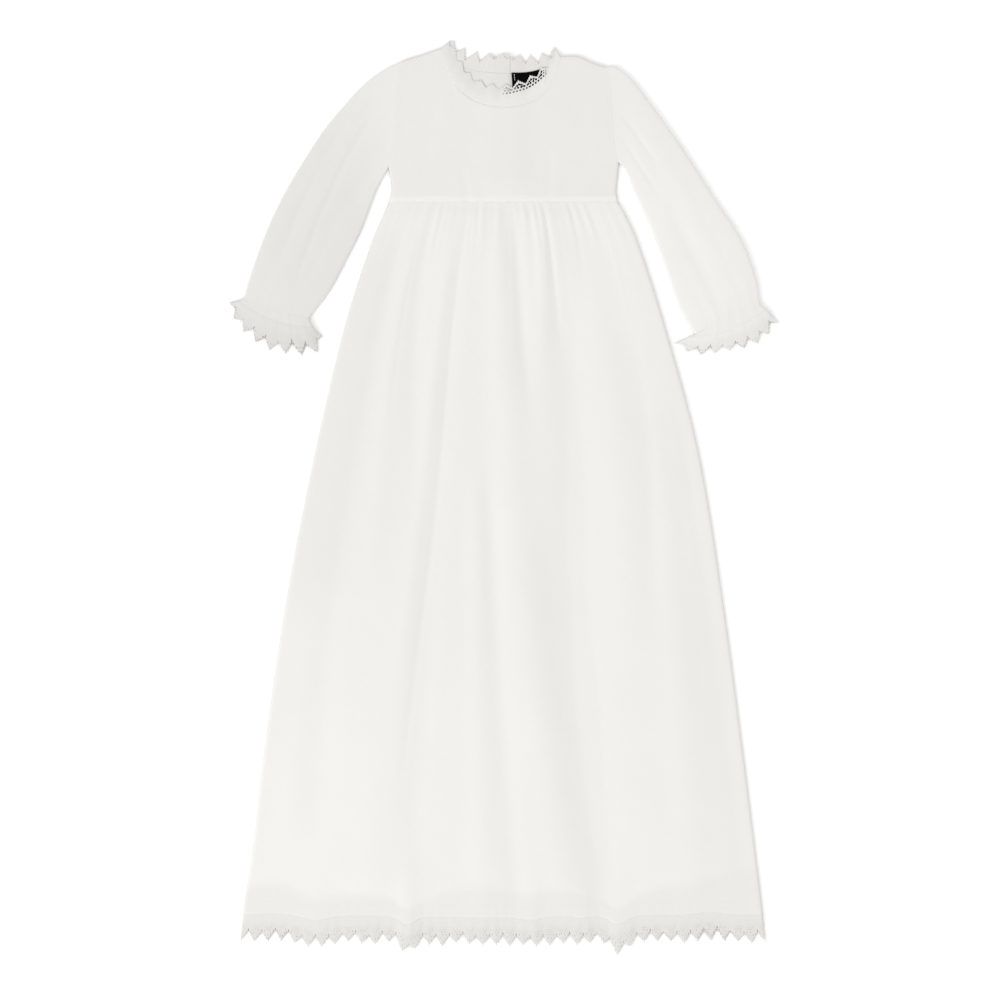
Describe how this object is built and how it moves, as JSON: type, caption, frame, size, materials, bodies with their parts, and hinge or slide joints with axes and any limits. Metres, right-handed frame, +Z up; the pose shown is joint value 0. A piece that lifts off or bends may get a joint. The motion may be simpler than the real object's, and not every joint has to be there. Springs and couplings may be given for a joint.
{
  "type": "christening gown",
  "caption": "Long gathered christening gown laid flat, with bishop sleeves, a round neck that opens at the back, and a pointed lace edging at neck, cuffs and hem.",
  "frame": {"origin": "on the surface that the gown lies on, under the middle of its bounding box", "axes": "+Z up from the surface, +Y along the gown from hem to neck, +X across it, to the right as seen from above with the neck away from the viewer"},
  "size_m": [0.5498, 0.9154, 0.0085],
  "materials": {
    "cloth": "fine off-white cotton, soft and slightly sheer, with a close plain weave",
    "lace": "off-white cotton lace with small eyelets and picots, matt",
    "label": "plain black woven tape, dull satin",
    "button": "off-white, pearly"
  },
  "bodies": {
    "root": {"front_bodice": "cloth", "back_bodice_left": "cloth", "back_bodice_right": "cloth", "front_skirt": "cloth", "back_skirt": "cloth", "sleeve_left": "cloth", "sleeve_right": "cloth", "neck_lace": "lace", "cuff_lace_left": "lace", "cuff_lace_right": "lace", "hem_lace_front": "lace", "hem_lace_back": "lace", "label": "label", "button_top": "button", "button_middle": "button", "button_bottom": "button"}
  },
  "joints": []
}
